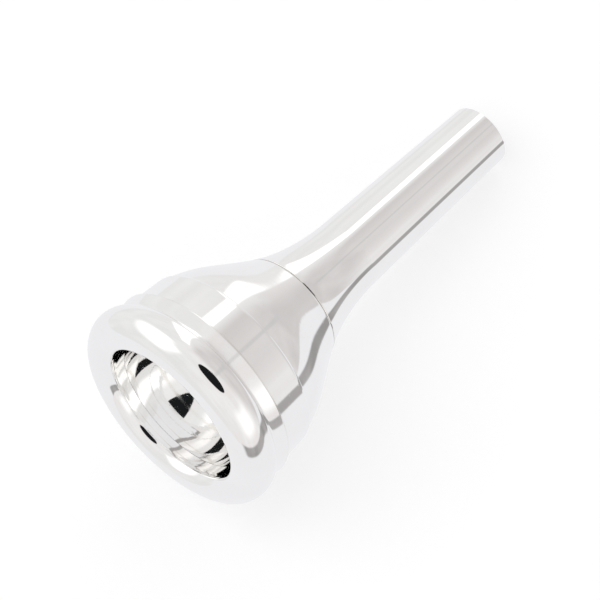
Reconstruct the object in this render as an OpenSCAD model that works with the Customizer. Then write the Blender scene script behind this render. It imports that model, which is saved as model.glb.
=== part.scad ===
// Low brass mouthpiece that comes apart in three: rim, cup and shank.
// It lies along +Y with the rim at -Y, resting on the rim's lowest point at Z = 0.
// Lengths called *_s are measured from the rim's face towards the shank's end.

/* [Overall] */
// Length from the rim's face to the shank's end
total_len = 78.8; // [64:0.1:96]
// Radius of the rim's inner edge, the bite
bite_r = 12.75; // [10.5:0.05:15.5]
// Width of the rim, from the bite to its widest
rim_width = 6.45; // [5.2:0.05:7.8]
// Length of the cup piece behind the seam
cup_len = 20.3; // [16:0.1:25]

/* [Rim outside] */
// Radius of the rim's rounded outer edge
rim_round = 3.85; // [3:0.05:4.8]
// Radius of the rounding at the bite
bite_round = 2.3; // [1.8:0.05:2.8]
// From the rounded edge to the hollow waist's narrowest
waist_run = 0.8; // [0.6:0.05:1.4]
// Depth of the waist below the collar
waist_depth = 0.3; // [0.1:0.05:0.6]
// From the waist to the seam with the cup
collar_len = 2.5; // [2:0.05:3.2]
// Wall of the collar over the sealing ring
collar_wall = 2.13; // [1.5:0.01:2.6]
// Rounding of the collar's back edge
collar_edge = 0.3; // [0.1:0.05:0.6]

/* [Cup outside] */
// Wall of the cup's band at the seam, outside the spigot
band_wall = 3.2; // [2.6:0.05:3.9]
// Draft of the band, the drop in radius along it
band_draft = 0.4; // [0.2:0.05:0.6]
// Length of the band
band_len = 6; // [4.8:0.1:7.5]
// Rounding of the shoulder after the band
shoulder_round = 0.9; // [0.3:0.05:1.5]
// Slope of the cup's side just after the shoulder
side_slope = 0.226; // [0.18:0.002:0.28]
// Wall of the cup's small end, over the sealing ring
nose_wall = 4.02; // [3.3:0.01:4.9]

/* [Shank outside] */
// Length over which the shank flares out to the cup, from the seam
flare_len = 14.4; // [12:0.1:17.4]
// Slope of the outside where the cup meets the shank
flare_slope = 0.515; // [0.42:0.005:0.62]
// Outside radius at the shank's end
shank_end_r = 5.6; // [4.6:0.05:6.8]
// Shank taper, change of diameter per millimetre of length
shank_taper = 0.052; // [0.043:0.001:0.065]

/* [Inside] */
// How much narrower the cup is than the bite
bite_lip = 0.15; // [0:0.05:0.4]
// Fullness of the bowl, larger is deeper walled
bowl_full = 0.24; // [0.16:0.01:0.4]
// Throat radius
throat_r = 3.3; // [2.7:0.05:4]
// How much wider the cup's floor is than the throat
throat_flare = 0.6; // [0.4:0.05:0.9]
// Length of the straight throat
throat_len = 4; // [3:0.1:6]
// Widening of the backbore a third of the way down
backbore_rise = 0.65; // [0.4:0.05:0.8]
// Wall at the shank's end
end_wall = 0.8; // [0.6:0.05:1]

/* [Rim thread] */
// Pitch of both threads
pitch = 1; // [0.8:0.05:1.2]
// Height of both threads
thread_h = 0.6; // [0.45:0.05:0.75]
// Wall of the cup's spigot inside the thread
spigot_wall = 1.8; // [1.4:0.05:2.3]
// Length of the cup's spigot, up to the seam
spigot_len = 5.3; // [5.1:0.05:6.4]
// Turns of the rim thread
rim_turns = 3; // [2:1:3]

/* [Shank thread] */
// Wall of the shank's spigot round the throat
spigot2_wall = 1.65; // [1.3:0.05:2]
// Length of the shank's spigot, up to the seam
spigot2_len = 7.3; // [7:0.05:8.8]
// Turns of the shank thread
shank_turns = 4; // [3:1:4]

/* [Clearances] */
// Radial clearance of both threads and of their pilots
thread_clear = 0.1; // [0.06:0.01:0.15]
// Gap between faces that meet when screwed home
seat_gap = 0.04; // [0.02:0.01:0.08]
// Clearance round the sealing rings
seal_clear = 0.05; // [0.02:0.01:0.1]

/* [Sealing rings] */
// Section radius of the ring in the rim joint
rim_seal_r = 0.5; // [0.4:0.05:0.6]
// Section radius of the ring in the shank joint
shank_seal_r = 0.42; // [0.35:0.01:0.5]

/* [Hidden] */
seg = 36;
edge_turn = 34;
rim_r = bite_r + rim_width;
edge_r = min(rim_round, rim_width - bite_round);
waist_s = edge_r * (1 + sin(edge_turn)) + waist_run;
seam_s = waist_s + collar_len;
spigot_s = seam_s - spigot_len;
cup_in_r = bite_r - bite_lip;
rim_core_r = cup_in_r + spigot_wall;
crest_r = rim_core_r + thread_h;
rim_land_r = crest_r + 0.02;
rim_gland_r = rim_land_r + 2 * rim_seal_r + 2 * seal_clear;
rim_gland_s = seam_s - 2 * rim_seal_r - 0.65;
rim_thread_s = spigot_s + 0.65;
collar_r = rim_gland_r + collar_wall;
waist_r = collar_r - waist_depth;
widest_r = max(rim_r, collar_r);
band_r = rim_core_r + band_wall;
band_end_r = band_r - band_draft;
shoulder_s = seam_s + band_len;
cup_end_s = seam_s + cup_len;
cup_floor_r = throat_r + throat_flare;
spigot2_s = cup_end_s - spigot2_len;
socket_s = spigot2_s - 0.1;
cup_floor_s = socket_s - 0.4;
shank_core_r = throat_r + spigot2_wall;
crest2_r = shank_core_r + thread_h - 0.05;
shank_gland_r = shank_core_r + 2 * shank_seal_r + 2 * seal_clear;
shank_gland_s = cup_end_s - 2 * shank_seal_r - 0.5;
shank_thread_s = spigot2_s + 1;
cup_end_r = shank_gland_r + nose_wall;
throat_s = spigot2_s + 1.7;
flare_end_s = cup_end_s + flare_len;
backbore_mid_r = throat_r + backbore_rise;
backbore_end_r = shank_end_r - end_wall;
silver = [0.86, 0.86, 0.88];

// Points are [radius, s]. A cubic curve from a to d, without its first point.
function curve(a, b, c, d, n = 14) = [
  for (i = [1:n])
    let(t = i / n, u = 1 - t)
      u * u * u * a + 3 * u * u * t * b + 3 * u * t * t * c + t * t * t * d
];

// An arc round a centre from angle a0 to a1, without its first point.
function arc(c, r, a0, a1, n = 10) = [
  for (i = [1:n])
    let(t = a0 + (a1 - a0) * i / n)
      c + r * [cos(t), sin(t)]
];

function taper_r(s) = shank_end_r + (total_len - s) * shank_taper / 2;

// One station of a thread: inner and outer radius, widths at both, on a turn angle.
function station(t, r0, r1, w0, w1, s) = [
  [r0 * cos(t), r0 * sin(t), s - w0 / 2],
  [r1 * cos(t), r1 * sin(t), s - w1 / 2],
  [r1 * cos(t), r1 * sin(t), s + w1 / 2],
  [r0 * cos(t), r0 * sin(t), s + w0 / 2]
];

// A right-hand thread, tapering away over a sixth of a turn at both ends.
module thread(r0, r1, w0, w1, s0, turn0, turns) {
  n = turns * seg;
  pts = [
    for (i = [0:n])
      let(k = min(1, 0.12 + i / 6, 0.12 + (n - i) / 6))
        each station(
          360 * (turn0 + i / seg), r0, r0 + (r1 - r0) * k,
          w0, w0 + (w1 - w0) * k, s0 + pitch * (turn0 + i / seg)
        )
  ];
  sides = [
    for (i = [0:n - 1])
      each [
        for (k = [0:3])
          let(a = 4 * i + k, b = 4 * i + (k + 1) % 4)
            each [[a, b, b + 4], [a, b + 4, a + 4]]
      ]
  ];
  ends = [[3, 2, 1, 0], [4 * n, 4 * n + 1, 4 * n + 2, 4 * n + 3]];
  polyhedron(points = pts, faces = concat(sides, ends), convexity = 12);
}

// Stands the mouthpiece's own axis along +Y with the rim on the ground.
module laid() {
  translate([0, -total_len / 2, widest_r]) rotate([-90, 0, 0]) children();
}

// ---- rim ----
module rim_profile() {
  out_c = [rim_r - edge_r, edge_r];
  in_c = [bite_r + bite_round, bite_round];
  leave = out_c + edge_r * [cos(edge_turn), sin(edge_turn)];
  tang = [-sin(edge_turn), cos(edge_turn)];
  waist = [waist_r, waist_s];
  collar = [collar_r, seam_s - collar_edge];
  rise = collar[1] - waist_s;
  inner = rim_core_r + thread_clear;
  polygon(concat(
    [[cup_in_r, spigot_s - seat_gap]],
    curve([cup_in_r, spigot_s - seat_gap], [cup_in_r + 0.08, spigot_s - 0.6], [bite_r, bite_round + 0.6], [bite_r, bite_round], 6),
    arc(in_c, bite_round, 180, 270, 12),
    [[rim_r - edge_r, 0]],
    arc(out_c, edge_r, -90, edge_turn, 18),
    curve(leave, leave + 0.6 * tang, waist - [0, 0.55], waist, 10),
    curve(
      waist, waist + [0.1 * waist_depth, 0.22 * rise],
      collar - [0.17 * waist_depth, 0.18 * rise], collar, 10
    ),
    arc([collar_r - collar_edge, seam_s - collar_edge], collar_edge, 0, 90, 6),
    [
      [rim_gland_r + 0.15, seam_s],
      [rim_gland_r, seam_s - 0.15],
      [rim_gland_r, rim_gland_s],
      [inner, rim_gland_s],
      [inner, spigot_s - seat_gap]
    ]
  ));
}

module rim() {
  color(silver)
  laid()
  difference() {
    rotate_extrude() rim_profile();
    thread(
      rim_core_r - 0.3, crest_r + thread_clear + 0.06, 1.05 * pitch, 0.52 * pitch,
      rim_thread_s, -0.5, rim_turns + 1.25
    );
  }
}

// ---- cup ----
module cup_profile() {
  bowl_a = [cup_in_r, spigot_s];
  bowl_d = [cup_floor_r, cup_floor_s];
  depth = cup_floor_s - spigot_s;
  sh = [band_end_r - shoulder_round, shoulder_s - shoulder_round * 0.35];
  a_sh = 62;
  turn_pt = sh + shoulder_round * [cos(a_sh), sin(a_sh)];
  end_pt = [cup_end_r, cup_end_s - 0.12];
  run = end_pt[1] - turn_pt[1];
  top = seam_s + seat_gap;
  polygon(concat(
    [bowl_a],
    curve(
      bowl_a, bowl_a + [0, depth * bowl_full],
      bowl_d + depth * [0.3, -0.5], bowl_d, 26
    ),
    [
      [cup_floor_r, socket_s],
      [shank_core_r + thread_clear, socket_s],
      [shank_core_r + thread_clear, shank_gland_s],
      [shank_gland_r, shank_gland_s],
      [shank_gland_r, cup_end_s - 0.1],
      [shank_gland_r + 0.1, cup_end_s],
      [cup_end_r - 0.12, cup_end_s],
      end_pt
    ],
    curve(
      end_pt, end_pt + 0.448 * run * [flare_slope, -1],
      turn_pt + 0.344 * run * [-side_slope, 1], turn_pt, 26
    ),
    arc(sh, shoulder_round, a_sh, 0, 8),
    [
      [band_r, top + 0.12],
      [band_r - 0.12, top],
      [rim_land_r, top],
      [rim_land_r, rim_gland_s + 0.32],
      [rim_core_r, rim_gland_s + 0.08],
      [rim_core_r, spigot_s + 0.3],
      [rim_core_r - 0.3, spigot_s]
    ]
  ));
}

module cup() {
  color(silver)
  laid()
  difference() {
    union() {
      rotate_extrude() cup_profile();
      thread(rim_core_r - 0.25, crest_r, 0.8 * pitch, 0.3 * pitch, rim_thread_s, 0, rim_turns);
    }
    thread(
      shank_core_r - 0.25, crest2_r + thread_clear + 0.04, pitch, 0.5 * pitch,
      shank_thread_s, -0.5, shank_turns + 2.25
    );
  }
}

// ---- shank ----
module shank_profile() {
  start = [cup_end_r - 0.12, cup_end_s + seat_gap];
  lip = start + [0.04, 0.12];
  flare_end = [taper_r(flare_end_s), flare_end_s];
  mid_s = throat_s + throat_len + (total_len - throat_s - throat_len) * 0.3;
  wide = [throat_r, throat_s];
  polygon(concat(
    [[cup_floor_r, spigot2_s]],
    curve(
      [cup_floor_r, spigot2_s], [cup_floor_r - 0.35, spigot2_s + 0.5],
      wide + [0, -0.7], wide, 8
    ),
    [[throat_r, throat_s + throat_len]],
    curve(
      [throat_r, throat_s + throat_len], [throat_r + 0.1, throat_s + throat_len + 4],
      [backbore_mid_r - 0.3, mid_s - 5], [backbore_mid_r, mid_s], 8
    ),
    [
      [backbore_end_r, total_len - 0.1],
      [backbore_end_r + 0.08, total_len],
      [shank_end_r - 0.12, total_len],
      [shank_end_r, total_len - 0.12],
      flare_end
    ],
    curve(
      flare_end, flare_end + 0.061 * flare_len * [shank_taper / 2, -1],
      lip + 0.407 * flare_len * [-flare_slope, 1], lip, 24
    ),
    [
      start,
      [shank_core_r, cup_end_s + seat_gap],
      [shank_core_r, spigot2_s + 0.35],
      [shank_core_r - 0.35, spigot2_s]
    ]
  ));
}

module shank() {
  color(silver)
  laid()
  union() {
    rotate_extrude() shank_profile();
    thread(shank_core_r - 0.2, crest2_r, 0.8 * pitch, 0.3 * pitch, shank_thread_s, 0, shank_turns);
  }
}

// ---- sealing rings ----
module seal(mid_r, section_r, s) {
  laid()
  translate([0, 0, s])
  rotate_extrude() translate([mid_r, 0]) circle(r = section_r);
}

module rim_o_ring() {
  color([0.08, 0.08, 0.08])
  seal(rim_land_r + seal_clear + rim_seal_r, rim_seal_r, seam_s - 0.25 - rim_seal_r);
}

module shank_o_ring() {
  color([0.08, 0.08, 0.08])
  seal(shank_core_r + seal_clear + shank_seal_r, shank_seal_r, cup_end_s - 0.2 - shank_seal_r);
}

rim();
cup();
shank();
rim_o_ring();
shank_o_ring();
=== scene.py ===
import math
import bpy
import bmesh
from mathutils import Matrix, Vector


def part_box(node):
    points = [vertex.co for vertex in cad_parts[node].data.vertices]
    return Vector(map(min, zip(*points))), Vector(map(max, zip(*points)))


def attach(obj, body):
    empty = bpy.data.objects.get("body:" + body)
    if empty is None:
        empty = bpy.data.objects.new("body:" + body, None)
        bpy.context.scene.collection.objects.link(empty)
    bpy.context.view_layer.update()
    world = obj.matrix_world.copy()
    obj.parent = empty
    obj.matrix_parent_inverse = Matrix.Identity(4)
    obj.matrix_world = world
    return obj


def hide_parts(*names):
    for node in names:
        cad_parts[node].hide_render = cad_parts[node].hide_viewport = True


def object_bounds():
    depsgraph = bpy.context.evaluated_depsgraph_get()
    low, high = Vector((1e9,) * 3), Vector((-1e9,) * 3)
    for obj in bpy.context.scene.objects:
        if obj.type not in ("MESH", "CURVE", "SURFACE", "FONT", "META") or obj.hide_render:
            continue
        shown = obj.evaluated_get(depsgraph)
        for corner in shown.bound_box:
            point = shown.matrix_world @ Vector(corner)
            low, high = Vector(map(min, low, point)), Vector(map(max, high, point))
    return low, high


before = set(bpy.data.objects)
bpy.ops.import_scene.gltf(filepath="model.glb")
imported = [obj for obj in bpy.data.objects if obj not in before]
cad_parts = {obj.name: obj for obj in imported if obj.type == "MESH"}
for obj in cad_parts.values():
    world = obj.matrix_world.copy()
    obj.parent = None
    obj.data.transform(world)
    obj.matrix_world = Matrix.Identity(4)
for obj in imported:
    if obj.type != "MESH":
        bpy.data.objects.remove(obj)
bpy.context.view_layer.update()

# ---------------------------------------------------------------- places
# The bore runs along +Y. Sizes are in mm. A name in _R is a radius, and a name in
# _S is a station, a length along the bore from the rim's face.
MM_PER_M = 1000
rim_lo, rim_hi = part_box("rim")
shank_lo, shank_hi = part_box("shank")
FACE_Y = rim_lo.y
AXIS_Z = (shank_lo.z + shank_hi.z) / 2
RIM_R = (rim_hi.x - rim_lo.x) / 2 * MM_PER_M
LENGTH = (shank_hi.y - rim_lo.y) * MM_PER_M
SIDES = 192


def spot(r, s, turn):
    """The place at radius r, station s and a turn angle in radians, in metres."""
    across, down = r * math.cos(turn), r * math.sin(turn)
    return Vector((across / MM_PER_M, FACE_Y + s / MM_PER_M, AXIS_Z - down / MM_PER_M))


# ---------------------------------------------------------------- sizes, the same as the CAD's
# rim
BITE_R, BITE_ROUND = 12.75, 2.3
RIM_ROUND, EDGE_TURN = 3.85, 34
WAIST_RUN, WAIST_DEPTH = 0.8, 0.3
COLLAR_LEN, COLLAR_WALL, COLLAR_EDGE = 2.5, 2.13, 0.3
WAIST_S = RIM_ROUND * (1 + math.sin(math.radians(EDGE_TURN))) + WAIST_RUN
SEAM_S = WAIST_S + COLLAR_LEN

# both joints. CLEAR is between the threads, SEAT between the faces that meet when the
# pieces are screwed home, and SEAL_CLEAR round a sealing ring in its gland.
PITCH, THREAD_H = 1.0, 0.6
CLEAR, SEAT, SEAL_CLEAR, CHAMFER = 0.1, 0.04, 0.05, 0.12

# rim joint. The cup's spigot has a core, its thread, and a land beside the ring's gland.
BITE_LIP, SPIGOT_WALL, SPIGOT_LEN, SPIGOT_TIP = 0.15, 1.8, 5.3, 0.3
RIM_SEAL_R, LAND_RISE, GLAND_LIP, GLAND_MOUTH = 0.5, 0.02, 0.65, 0.15
THREAD_LEAD, RIM_TURNS = 0.65, 3.0
SPIGOT_S = SEAM_S - SPIGOT_LEN
CUP_IN_R = BITE_R - BITE_LIP
RIM_CORE_R = CUP_IN_R + SPIGOT_WALL
CREST_R = RIM_CORE_R + THREAD_H
LAND_R = CREST_R + LAND_RISE
GLAND_R = LAND_R + 2 * RIM_SEAL_R + 2 * SEAL_CLEAR
GLAND_S = SEAM_S - 2 * RIM_SEAL_R - GLAND_LIP
THREAD_S = SPIGOT_S + THREAD_LEAD
COLLAR_R = GLAND_R + COLLAR_WALL
WAIST_R = COLLAR_R - WAIST_DEPTH

# cup
BAND_WALL, BAND_DRAFT, BAND_LEN = 3.2, 0.4, 6
SHOULDER_ROUND, SHOULDER_TURN, SHOULDER_SET = 0.9, 62, 0.35
CUP_LEN, BOWL_FULL, BOWL_RUN = 20.3, 0.24, (0.3, -0.5)
SIDE_SLOPE, NOSE_WALL = 0.226, 4.02
BAND_R = RIM_CORE_R + BAND_WALL
BAND_END_R = BAND_R - BAND_DRAFT
SHOULDER_S = SEAM_S + BAND_LEN
CUP_END_S = SEAM_S + CUP_LEN

# shank joint, whose names have a 2 where the rim joint has the same thing
THROAT_R, THROAT_FLARE, THROAT_LEN, THROAT_IN = 3.3, 0.6, 4, 1.7
SPIGOT2_WALL, SPIGOT2_LEN, SPIGOT2_TIP = 1.65, 7.3, 0.35
SOCKET_GAP, FLOOR_LAND, CREST2_DROP = 0.1, 0.4, 0.05
SHANK_SEAL_R, GLAND2_LIP, GLAND2_MOUTH = 0.42, 0.5, 0.1
THREAD2_LEAD, SHANK_TURNS = 1, 4.0
SPIGOT2_S = CUP_END_S - SPIGOT2_LEN
SOCKET_S = SPIGOT2_S - SOCKET_GAP
FLOOR_R, FLOOR_S = THROAT_R + THROAT_FLARE, SOCKET_S - FLOOR_LAND
CORE2_R = THROAT_R + SPIGOT2_WALL
CREST2_R = CORE2_R + THREAD_H - CREST2_DROP
GLAND2_R = CORE2_R + 2 * SHANK_SEAL_R + 2 * SEAL_CLEAR
GLAND2_S = CUP_END_S - 2 * SHANK_SEAL_R - GLAND2_LIP
THREAD2_S = SPIGOT2_S + THREAD2_LEAD
THROAT_S = SPIGOT2_S + THROAT_IN
CUP_END_R = GLAND2_R + NOSE_WALL

# shank
FLARE_SLOPE, FLARE_LEN = 0.515, 14.4
END_R, END_WALL, TAPER = 5.6, 0.8, 0.052
BACKBORE_RISE, BACKBORE_PART = 0.65, 0.3
FLARE_END_S = CUP_END_S + FLARE_LEN
BACKBORE_MID_R, BACKBORE_END_R = THROAT_R + BACKBORE_RISE, END_R - END_WALL

# The CAD cuts its female threads into the bore. Here each is a ridge that stands in
# a wider bore, the relief, and its foot is sunk a little into the wall.
RELIEF, SUNK, RELIEF2_LEAD = 0.1, 0.1, 0.75
RELIEF_R, RELIEF2_R = CREST_R + RELIEF, CREST2_R + RELIEF


def taper_r(s):
    return END_R + (LENGTH - s) * TAPER / 2


# ---------------------------------------------------------------- outlines, points are (radius, s)
def add(a, b, k=1.0):
    return (a[0] + b[0] * k, a[1] + b[1] * k)


def curve(a, b, c, d, n):
    """A cubic curve from a to d with handles b and c, without its first point."""
    out = []
    for i in range(1, n + 1):
        t = i / n
        u = 1 - t
        w = (u * u * u, 3 * u * u * t, 3 * u * t * t, t * t * t)
        out.append(tuple(w[0] * a[k] + w[1] * b[k] + w[2] * c[k] + w[3] * d[k] for k in (0, 1)))
    return out


def arc(c, r, a0, a1, n):
    """An arc about c from angle a0 to a1 in degrees, without its first point."""
    out = []
    for i in range(1, n + 1):
        t = math.radians(a0 + (a1 - a0) * i / n)
        out.append((c[0] + r * math.cos(t), c[1] + r * math.sin(t)))
    return out


def rim_outline():
    out_c = (RIM_R - RIM_ROUND, RIM_ROUND)
    in_c = (BITE_R + BITE_ROUND, BITE_ROUND)
    edge = math.radians(EDGE_TURN)
    leave = add(out_c, (math.cos(edge), math.sin(edge)), RIM_ROUND)
    tangent = (-math.sin(edge), math.cos(edge))
    start, bite = (CUP_IN_R, SPIGOT_S - SEAT), (BITE_R, BITE_ROUND)
    waist, collar = (WAIST_R, WAIST_S), (COLLAR_R, SEAM_S - COLLAR_EDGE)
    rise, drop = collar[1] - WAIST_S, COLLAR_R - WAIST_R
    pts = [start]
    pts += curve(start, (CUP_IN_R + 0.08, SPIGOT_S - 0.6), add(bite, (0, 0.6)), bite, 12)
    pts += arc(in_c, BITE_ROUND, 180, 270, 28)
    pts += [(RIM_R - RIM_ROUND, 0)]
    pts += arc(out_c, RIM_ROUND, -90, EDGE_TURN, 44)
    pts += curve(leave, add(leave, tangent, 0.6), add(waist, (0, -0.55)), waist, 20)
    from_waist, to_collar = (0.1 * drop, 0.22 * rise), (0.17 * drop, 0.18 * rise)
    pts += curve(waist, add(waist, from_waist), add(collar, to_collar, -1), collar, 24)
    pts += arc((COLLAR_R - COLLAR_EDGE, SEAM_S - COLLAR_EDGE), COLLAR_EDGE, 0, 90, 8)
    pts += [(GLAND_R + GLAND_MOUTH, SEAM_S), (GLAND_R, SEAM_S - GLAND_MOUTH), (GLAND_R, GLAND_S)]
    pts += [(RELIEF_R, GLAND_S), (RELIEF_R, SPIGOT_S - SEAT)]
    return pts


def cup_outline():
    mouth, floor = (CUP_IN_R, SPIGOT_S), (FLOOR_R, FLOOR_S)
    depth = FLOOR_S - SPIGOT_S
    shoulder = (BAND_END_R - SHOULDER_ROUND, SHOULDER_S - SHOULDER_ROUND * SHOULDER_SET)
    turn = math.radians(SHOULDER_TURN)
    leave = add(shoulder, (math.cos(turn), math.sin(turn)), SHOULDER_ROUND)
    end = (CUP_END_R, CUP_END_S - CHAMFER)
    run = end[1] - leave[1]
    top = SEAM_S + SEAT
    relief_s, bore = THREAD2_S - RELIEF2_LEAD, CORE2_R + CLEAR
    pts = [mouth]
    pts += curve(mouth, add(mouth, (0, BOWL_FULL), depth), add(floor, BOWL_RUN, depth), floor, 96)
    # the socket for the shank, from the bowl's floor to the cup's end
    pts += [(FLOOR_R, SOCKET_S), (bore, SOCKET_S), (bore, relief_s - 0.15), (RELIEF2_R, relief_s)]
    pts += [(RELIEF2_R, GLAND2_S), (GLAND2_R, GLAND2_S)]
    pts += [(GLAND2_R, CUP_END_S - GLAND2_MOUTH), (GLAND2_R + GLAND2_MOUTH, CUP_END_S)]
    # the outside, from the end to the band
    pts += [(CUP_END_R - CHAMFER, CUP_END_S), end]
    from_end, to_leave = add(end, (FLARE_SLOPE, -1), 0.448 * run), add(leave, (-SIDE_SLOPE, 1), 0.344 * run)
    pts += curve(end, from_end, to_leave, leave, 64)
    pts += arc(shoulder, SHOULDER_ROUND, SHOULDER_TURN, 0, 16)
    pts += [(BAND_R, top + CHAMFER), (BAND_R - CHAMFER, top)]
    # the spigot for the rim, with the step from its land to its core
    pts += [(LAND_R, top), (LAND_R, GLAND_S + 0.32), (RIM_CORE_R, GLAND_S + 0.08)]
    pts += [(RIM_CORE_R, SPIGOT_S + SPIGOT_TIP), (RIM_CORE_R - SPIGOT_TIP, SPIGOT_S)]
    return pts


def shank_outline():
    start = (CUP_END_R - CHAMFER, CUP_END_S + SEAT)
    lip = add(start, (0.04, CHAMFER))
    flare_end = (taper_r(FLARE_END_S), FLARE_END_S)
    mouth, throat = (FLOOR_R, SPIGOT2_S), (THROAT_R, THROAT_S)
    throat_end = (THROAT_R, THROAT_S + THROAT_LEN)
    backbore = (BACKBORE_MID_R, throat_end[1] + (LENGTH - throat_end[1]) * BACKBORE_PART)
    pts = [mouth]
    pts += curve(mouth, add(mouth, (-0.35, 0.5)), add(throat, (0, -0.7)), throat, 16)
    pts += [throat_end]
    pts += curve(throat_end, add(throat_end, (0.1, 4)), add(backbore, (-0.3, -5)), backbore, 16)
    pts += [(BACKBORE_END_R, LENGTH - 0.1), (BACKBORE_END_R + 0.08, LENGTH)]
    pts += [(END_R - CHAMFER, LENGTH), (END_R, LENGTH - CHAMFER), flare_end]
    from_taper, to_lip = (TAPER / 2, -1), (-FLARE_SLOPE, 1)
    pts += curve(flare_end, add(flare_end, from_taper, 0.061 * FLARE_LEN),
                 add(lip, to_lip, 0.407 * FLARE_LEN), lip, 64)
    pts += [start, (CORE2_R, CUP_END_S + SEAT)]
    pts += [(CORE2_R, SPIGOT2_S + SPIGOT2_TIP), (CORE2_R - SPIGOT2_TIP, SPIGOT2_S)]
    return pts


SHARP = math.radians(24)


def turned(name, outline):
    """A closed turned solid from an outline, smooth except at edges over SHARP."""
    bm = bmesh.new()
    rings = [[bm.verts.new(spot(r, s, 2 * math.pi * k / SIDES)) for k in range(SIDES)] for r, s in outline]
    for i, ring in enumerate(rings):
        nxt = rings[(i + 1) % len(rings)]
        for k in range(SIDES):
            bm.faces.new((ring[k], ring[(k + 1) % SIDES], nxt[(k + 1) % SIDES], nxt[k]))
    bmesh.ops.recalc_face_normals(bm, faces=bm.faces)
    for f in bm.faces:
        f.smooth = True
    for e in bm.edges:
        if len(e.link_faces) == 2 and e.calc_face_angle(0) > SHARP:
            e.smooth = False
    me = bpy.data.meshes.new(name)
    bm.to_mesh(me)
    bm.free()
    ob = bpy.data.objects.new(name, me)
    bpy.context.scene.collection.objects.link(ob)
    return ob


# ---------------------------------------------------------------- node arithmetic
class Val:
    """A number or vector socket of a node tree, with arithmetic."""

    def __init__(self, tree, socket):
        self.tree, self.socket = tree, socket

    def __add__(self, o):
        return calc(self.tree, "ADD", self, o)

    def __sub__(self, o):
        return calc(self.tree, "SUBTRACT", self, o)

    def __rsub__(self, o):
        return calc(self.tree, "SUBTRACT", o, self)

    def __mul__(self, o):
        return calc(self.tree, "MULTIPLY", self, o)


def feed(tree, socket, value):
    """Links a Val to a socket, or sets the socket to a plain value."""
    if isinstance(value, Val):
        tree.links.new(value.socket, socket)
    else:
        socket.default_value = value


def calc(tree, op, *args):
    node = tree.nodes.new("ShaderNodeMath")
    node.operation = op
    for k, v in enumerate(args):
        feed(tree, node.inputs[k], v)
    return Val(tree, node.outputs[0])


def dot(tree, vec, axis):
    node = tree.nodes.new("ShaderNodeVectorMath")
    node.operation = "DOT_PRODUCT"
    feed(tree, node.inputs[0], vec)
    node.inputs[1].default_value = axis
    return Val(tree, node.outputs["Value"])


def step(tree, v, lo, hi, a=0.0, b=1.0):
    """a below lo, b above hi, smooth between."""
    node = tree.nodes.new("ShaderNodeMapRange")
    node.interpolation_type = "SMOOTHSTEP"
    for k, x in zip(("Value", "From Min", "From Max", "To Min", "To Max"), (v, lo, hi, a, b)):
        feed(tree, node.inputs[k], x)
    return Val(tree, node.outputs[0])


def patch(tree, v, lo, hi, soft):
    """1 between lo and hi, 0 outside, with edges soft to either side."""
    return step(tree, v, lo - soft, lo + soft) * step(tree, v, hi - soft, hi + soft, 1, 0)


def mix(tree, fac, a, b):
    """Colour a where fac is 0, b where it is 1. Sockets 6, 7 and 2 are the colour ones."""
    node = tree.nodes.new("ShaderNodeMix")
    node.data_type = "RGBA"
    for k, x in ((0, fac), (6, a), (7, b)):
        feed(tree, node.inputs[k], x)
    return Val(tree, node.outputs[2])


def noise(tree, where, scale, detail, rough=0.55):
    node = tree.nodes.new("ShaderNodeTexNoise")
    feed(tree, node.inputs["Vector"], where)
    for k, x in (("Scale", scale), ("Detail", detail), ("Roughness", rough)):
        node.inputs[k].default_value = x
    return Val(tree, node.outputs[0])


def bump(tree, height, strength, distance):
    node = tree.nodes.new("ShaderNodeBump")
    node.inputs["Strength"].default_value = strength
    node.inputs["Distance"].default_value = distance
    feed(tree, node.inputs["Height"], height)
    return Val(tree, node.outputs[0])


# ---------------------------------------------------------------- materials
SILVER_PALE, SILVER_GREY, TARNISH = (0.945, 0.94, 0.93, 1), (0.93, 0.922, 0.912, 1), (0.72, 0.67, 0.58, 1)
BARE_PALE, BARE_BRASSY = (0.86, 0.85, 0.82, 1), (0.78, 0.74, 0.66, 1)
RUBBER_BLACK, RUBBER_DUSTY = (0.018, 0.018, 0.019, 1), (0.07, 0.068, 0.065, 1)


def principled(name):
    m = bpy.data.materials.new(name)
    m.use_nodes = True
    nt = m.node_tree
    return m, nt, nt.nodes["Principled BSDF"]


def places(t):
    """In metres: the point itself, its height along the bore, and the vector of its
    radius and height, on which a noise makes rings like tool marks."""
    p = Val(t, t.nodes.new("ShaderNodeTexCoord").outputs["Object"])
    x, y, z = dot(t, p, (1, 0, 0)), dot(t, p, (0, 1, 0)) - FACE_Y, dot(t, p, (0, 0, 1)) - AXIS_Z
    r = calc(t, "SQRT", x * x + z * z)
    join = t.nodes.new("ShaderNodeCombineXYZ")
    feed(t, join.inputs[0], r)
    feed(t, join.inputs[1], y)
    return p, y, Val(t, join.outputs[0])


def scratches(t, p, turn, scale, cut):
    """Fine wiping marks: a noise drawn out in one direction and cut thin."""
    m = t.nodes.new("ShaderNodeMapping")
    feed(t, m.inputs["Vector"], p)
    m.inputs["Rotation"].default_value = turn
    m.inputs["Scale"].default_value = (1, 24, 24)
    v = noise(t, Val(t, m.outputs[0]), scale, 2.0)
    return step(t, v, cut, cut + 0.05)


def seam_stain(t, y, s):
    """1 at the seam behind station s, gone within half a millimetre of it."""
    off = calc(t, "ABSOLUTE", y - (s + SEAT / 2) / MM_PER_M)
    return step(t, off, 0.00005, 0.00045, 1, 0)


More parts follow.
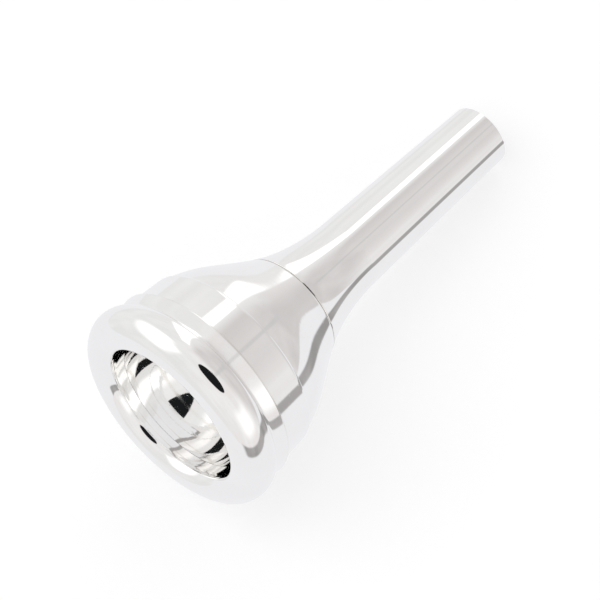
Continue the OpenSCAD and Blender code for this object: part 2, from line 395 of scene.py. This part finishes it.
def silver():
    """Polished silver plate: faint tooling rings, wiping marks, finger haze, a
    little tarnish at the joints."""
    m, t, b = principled("silver_plate")
    p, y, rings_at = places(t)
    haze = noise(t, p, 130, 4.0)
    fine = noise(t, p, 900, 3.0)
    marks = scratches(t, p, (0.3, 0.5, 0.2), 90, 0.70) + scratches(t, p, (1.1, 0.2, 2.0), 120, 0.72)
    stain = seam_stain(t, y, SEAM_S) + seam_stain(t, y, CUP_END_S)
    tarnish = stain * step(t, haze, 0.35, 0.7, 0.25, 1.0)
    base = mix(t, step(t, haze, 0.3, 0.7), SILVER_PALE, SILVER_GREY)
    feed(t, b.inputs["Base Color"], mix(t, tarnish * 0.5, base, TARNISH))
    b.inputs["Metallic"].default_value = 1.0
    rough = step(t, haze, 0.38, 0.68, 0.022, 0.06) + step(t, fine, 0.4, 0.8, 0, 0.015)
    feed(t, b.inputs["Roughness"], rough + marks * 0.05 + tarnish * 0.16)
    rings = noise(t, rings_at, 2600, 2.0) * 0.5 + noise(t, rings_at, 700, 2.0)
    relief = rings + haze * 0.6 + fine * 0.25 - marks * 0.5
    feed(t, b.inputs["Normal"], bump(t, relief, 0.09, 0.00004))
    return m


def machined():
    """The satin finish inside the joints, where the plate is thin over the tool marks."""
    m, t, b = principled("machined_joint")
    p, _, rings_at = places(t)
    haze = noise(t, p, 260, 4.0)
    rings = noise(t, rings_at, 5200, 3.0)
    feed(t, b.inputs["Base Color"], mix(t, step(t, haze, 0.3, 0.7), BARE_PALE, BARE_BRASSY))
    b.inputs["Metallic"].default_value = 1.0
    feed(t, b.inputs["Roughness"], step(t, haze, 0.3, 0.75, 0.17, 0.32) + step(t, rings, 0.3, 0.7, 0, 0.06))
    feed(t, b.inputs["Normal"], bump(t, rings, 0.35, 0.00006))
    return m


def rubber():
    """Black rubber, a little dusty."""
    m, t, b = principled("seal_rubber")
    p = Val(t, t.nodes.new("ShaderNodeTexCoord").outputs["Object"])
    dust, grain = noise(t, p, 500, 4.0), noise(t, p, 4000, 2.0)
    feed(t, b.inputs["Base Color"], mix(t, step(t, dust, 0.55, 0.8), RUBBER_BLACK, RUBBER_DUSTY))
    feed(t, b.inputs["Roughness"], step(t, dust, 0.35, 0.75, 0.38, 0.62))
    feed(t, b.inputs["Normal"], bump(t, grain, 0.3, 0.00004))
    return m


SILVER, MACHINED, RUBBER = silver(), machined(), rubber()

# ---------------------------------------------------------------- the pieces
# Each piece has two materials: silver is its first, and the machined one its second.
MACHINED_SLOT = 1
# A thread's ridge: its widths at foot and tip, and how it fades out at both ends
MALE_FOOT, MALE_TIP = 0.74, 0.3
FEMALE_FOOT, FEMALE2_FOOT, FEMALE_TIP, FEMALE_START = 0.52, 0.5, 0.16, 0.1
STEPS_A_TURN, FADE_TURNS, FADED = 72, 0.15, 0.12
# How far past a wall the machined finish starts
SKIN = 0.2


def thread(ob, base, tip, base_w, tip_w, s0, t0, t1):
    """Adds a thread ridge to a piece: from radius base to radius tip, its middle at
    station s0 + turns * PITCH, from t0 to t1 turns, fading out at both ends."""
    n = round((t1 - t0) * STEPS_A_TURN)
    bm = bmesh.new()
    bm.from_mesh(ob.data)
    rows = []
    for i in range(n + 1):
        turn = t0 + (t1 - t0) * i / n
        k = min(1, (turn - t0) / FADE_TURNS, (t1 - turn) / FADE_TURNS)
        top = base + (tip - base) * (FADED + (1 - FADED) * k)
        s, a = s0 + turn * PITCH, 2 * math.pi * turn
        section = ((base, -base_w / 2), (top, -tip_w / 2), (top, tip_w / 2), (base, base_w / 2))
        rows.append([bm.verts.new(spot(r, s + w, a)) for r, w in section])
    made = []
    for u, v in zip(rows, rows[1:]):
        made += [bm.faces.new((u[k], u[(k + 1) % 4], v[(k + 1) % 4], v[k])) for k in range(4)]
    made += [bm.faces.new(rows[0][::-1]), bm.faces.new(rows[-1])]
    bmesh.ops.recalc_face_normals(bm, faces=made)
    for f in made:
        f.material_index = MACHINED_SLOT
    bm.to_mesh(ob.data)
    bm.free()


def satin(ob, inside):
    """Gives the machined finish to the faces whose middle (radius, s) is inside."""
    for f in ob.data.polygons:
        c = f.center
        if inside(math.hypot(c.x, c.z - AXIS_Z) * MM_PER_M, (c.y - FACE_Y) * MM_PER_M):
            f.material_index = MACHINED_SLOT


def in_rim_joint(r, s):
    """The rim's bore behind the bite, under the collar."""
    return s > SPIGOT_S - 0.5 and CUP_IN_R + SKIN < r < COLLAR_R - 1.2


def in_cup_joints(r, s):
    """The cup's spigot, and its socket for the shank."""
    spigot = s < SEAM_S and r > CUP_IN_R + SKIN
    return spigot or (s > SOCKET_S - 0.1 and r < GLAND2_R + GLAND2_MOUTH)


def in_shank_joint(r, s):
    """The shank's spigot, and the backbore from a little past the throat."""
    spigot = s < CUP_END_S and r > FLOOR_R + SKIN
    return spigot or (s > THROAT_S + THROAT_LEN + 2 and r < BACKBORE_END_R)


rim = turned("rim_piece", rim_outline())
cup = turned("cup_piece", cup_outline())
shank = turned("shank_piece", shank_outline())
for ob in (rim, cup, shank):
    ob.data.materials.append(SILVER)
    ob.data.materials.append(MACHINED)
satin(rim, in_rim_joint)
satin(cup, in_cup_joints)
satin(shank, in_shank_joint)
# a female ridge lies half a pitch off the male one, and runs a little further
half = PITCH / 2
thread(rim, RELIEF_R + SUNK, RIM_CORE_R + CLEAR, FEMALE_FOOT, FEMALE_TIP,
       THREAD_S - half, FEMALE_START, RIM_TURNS + 0.2)
thread(cup, RIM_CORE_R - SUNK, CREST_R, MALE_FOOT, MALE_TIP, THREAD_S, 0.0, RIM_TURNS)
thread(cup, RELIEF2_R + SUNK, CORE2_R + CLEAR, FEMALE2_FOOT, FEMALE_TIP,
       THREAD2_S - half, FEMALE_START, SHANK_TURNS + 1.1)
thread(shank, CORE2_R - SUNK, CREST2_R, MALE_FOOT, MALE_TIP, THREAD2_S, 0.0, SHANK_TURNS)
for ob, body, node in ((rim, "rim", "rim"), (cup, "cup", "cup"), (shank, "shank", "shank")):
    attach(ob, body)
    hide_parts(node)
for n in ("rim_o_ring", "shank_o_ring"):
    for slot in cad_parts[n].material_slots:
        slot.material = RUBBER


# ---------------------------------------------------------------- camera
# A long lens, looking down on the rim. The angles are az from -Y toward +X, and
# el up from level.
def studio_camera():
    lo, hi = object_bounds()
    az, el, distance = math.radians(41.58), math.radians(53.45), 0.4429
    back = Vector((math.sin(az) * math.cos(el), -math.cos(az) * math.cos(el), math.sin(el)))
    look = (lo + hi) / 2 + Vector((0.0043, -0.0119, 0.0081))
    cam = bpy.data.cameras.new("camera")
    cam.lens, cam.sensor_width = 166.1, 36.0
    cam.clip_start, cam.clip_end = 0.01, 50
    eye = bpy.data.objects.new("camera", cam)
    bpy.context.scene.collection.objects.link(eye)
    eye.location = look + back * distance
    eye.rotation_mode = "QUATERNION"
    eye.rotation_quaternion = (-back).to_track_quat("-Z", "Y")
    bpy.context.scene.camera = eye


# ---------------------------------------------------------------- floor and light
# The mouthpiece lies on its rim and the end of its shank, so the floor is the
# plane through those two places. Directions are given in that plane's frame:
# az from -Y toward +X, el up from the floor, both in degrees.
END_RUN, END_DROP = LENGTH - RIM_ROUND, RIM_R - RIM_ROUND - END_R
FLOOR_TILT = math.atan2(END_DROP, END_RUN) + math.asin(RIM_ROUND / math.hypot(END_RUN, END_DROP))
UP = Vector((0, -math.sin(FLOOR_TILT), math.cos(FLOOR_TILT)))
ALONG = Vector((0, math.cos(FLOOR_TILT), math.sin(FLOOR_TILT)))
TOUCH = Vector((0, FACE_Y + RIM_ROUND / MM_PER_M * (1 + math.sin(FLOOR_TILT)),
                AXIS_Z - (RIM_R - RIM_ROUND * (1 - math.cos(FLOOR_TILT))) / MM_PER_M))
FLOOR_HALF = 1.6
PLAIN, WARM, COOL = (1, 1, 1), (1.0, 0.972, 0.968), (0.995, 0.998, 1.0)


def grey(v, tint=PLAIN):
    return (v * tint[0], v * tint[1], v * tint[2], 1)


def studio_floor():
    """A pale sheet that glows a little, so that only the contact shadow shows on it."""
    me = bpy.data.meshes.new("studio_floor")
    corners = [TOUCH + Vector((x * FLOOR_HALF, 0, 0)) + ALONG * (y * FLOOR_HALF)
               for x, y in ((-1, -1), (1, -1), (1, 1), (-1, 1))]
    me.from_pydata([tuple(c) for c in corners], [], [(0, 1, 2, 3)])
    m, _, b = principled("floor_paper")
    b.inputs["Base Color"].default_value = (0.55, 0.55, 0.555, 1)
    b.inputs["Roughness"].default_value = 0.9
    b.inputs["Specular IOR Level"].default_value = 0.0
    b.inputs["Emission Color"].default_value = (1, 1, 1, 1)
    b.inputs["Emission Strength"].default_value = 0.56
    me.materials.append(m)
    ob = bpy.data.objects.new("studio_floor", me)
    bpy.context.scene.collection.objects.link(ob)
    ob.visible_glossy = False


def tent_walls(t, az, el, drift):
    """Pale cloth all round, cooler at the left, darker and warmer low at the back."""
    at_left = patch(t, az, -150, 10, 30)
    right = mix(t, drift, grey(0.85, WARM), grey(0.90))
    left = mix(t, drift, grey(0.83, COOL), grey(0.88, COOL))
    col = mix(t, at_left, right, left)
    behind = step(t, calc(t, "ABSOLUTE", az), 112, 150) * step(t, el, 52, 78, 1, 0)
    behind = behind * (1.0 - patch(t, az, -170, -100, 12))
    return mix(t, behind, col, mix(t, drift, grey(0.64, WARM), grey(0.72, WARM)))


def tent_lights(t, az, el, col):
    """A bright panel at the left, a softer glow low at the right, a narrow stripe at
    the back left, and the table, which glows evenly."""
    panel = patch(t, az, -98, -30, 9) * patch(t, el, 24, 66, 8)
    col = mix(t, panel, col, grey(1.3))
    glow = patch(t, az, 60, 112, 14) * patch(t, el, -2, 24, 7)
    col = mix(t, glow, col, grey(1.15, (1.0, 0.99, 0.985)))
    stripe = patch(t, az, -163, -147, 1.5) * patch(t, el, -6, 56, 3)
    col = mix(t, stripe, col, grey(1.25))
    table = step(t, el, -16, -14, 1, 0)
    return mix(t, table, col, grey(0.90, (0.985, 0.99, 1.015)))


def tent_openings(t, ray, az, el, drift, col):
    """The dark places: the gap at the table's right edge, which runs lower toward the
    back, the slit that closes the tent, and the round opening for the camera. The
    slit and the opening are placed by directions in the scene's own axes."""
    gap_el = step(t, az, 118, 165, -19, -36)
    gap = step(t, calc(t, "ABSOLUTE", el - gap_el), 4.0, 7.0, 1, 0) * patch(t, az, 34, 168, 6)
    col = mix(t, gap, col, mix(t, drift, grey(0.34, WARM), grey(0.44, WARM)))
    slit_side = Vector((0.857, 0, -0.43)).normalized()
    slit = step(t, calc(t, "ABSOLUTE", dot(t, ray, slit_side)), 0.012, 0.05, 1, 0)
    slit = slit * step(t, dot(t, ray, (0, 1, 0)), -0.2, -0.1)
    slit = slit * step(t, el, 0, 12)
    col = mix(t, slit * 0.42, col, grey(0.55, COOL))
    hole_middle = Vector((0.43, -0.28, 0.857)).normalized()
    dark_from, dark_to = math.cos(math.radians(17.6)), math.cos(math.radians(16.4))
    hole = step(t, dot(t, ray, hole_middle), dark_from, dark_to)
    return mix(t, hole, col, grey(0.012, (0.9, 1.0, 1.05)))


def studio_world():
    """A white light tent, which the silver mirrors. Seen straight on it is plain white."""
    world = bpy.data.worlds.new("studio")
    bpy.context.scene.world = world
    world.use_nodes = True
    t = world.node_tree
    ray = Val(t, t.nodes.new("ShaderNodeTexCoord").outputs["Generated"])
    x, y, z = dot(t, ray, (1, 0, 0)), dot(t, ray, ALONG), dot(t, ray, UP)
    az = calc(t, "ARCTAN2", x, y * -1.0) * math.degrees(1)
    el = calc(t, "ARCSINE", z) * math.degrees(1)
    drift = step(t, noise(t, ray, 2.2, 3.0, 0.5), 0.35, 0.65)
    col = tent_walls(t, az, el, drift)
    col = tent_lights(t, az, el, col)
    col = tent_openings(t, ray, az, el, drift, col)
    seen = t.nodes.new("ShaderNodeLightPath").outputs["Is Camera Ray"]
    background = t.nodes["Background"]
    feed(t, background.inputs["Color"], mix(t, Val(t, seen), col, grey(0.99)))
    background.inputs["Strength"].default_value = 1.0
    world.cycles.sampling_method = "AUTOMATIC"


studio_camera()
studio_floor()
studio_world()
bpy.context.scene.view_settings.view_transform = "Standard"
